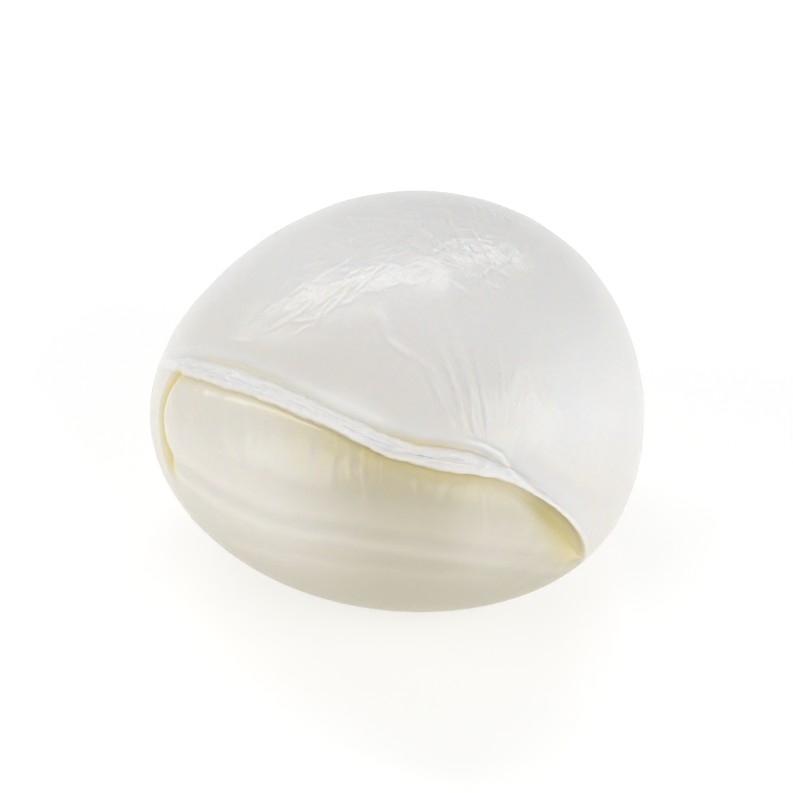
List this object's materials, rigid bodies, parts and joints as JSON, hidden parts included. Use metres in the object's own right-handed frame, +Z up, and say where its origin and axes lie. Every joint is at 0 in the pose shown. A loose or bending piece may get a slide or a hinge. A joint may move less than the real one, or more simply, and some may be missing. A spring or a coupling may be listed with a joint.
{
  "type": "mozzarella ball",
  "caption": "Fresh hand-pinched mozzarella ball: a soft, slightly sagging milky ball with an open seam whose rolled lip overhangs a bulging fold of curd.",
  "frame": {"origin": "under the middle of the ball, on the plane it rests on", "axes": "+Z up, +X along the ball's long way, towards its fuller end; the seam faces -Y"},
  "size_m": [0.0696, 0.0624, 0.0523],
  "materials": {
    "curd": "milky white, moist soft gloss"
  },
  "bodies": {
    "root": {"mozzarella_ball": "curd"}
  },
  "joints": []
}
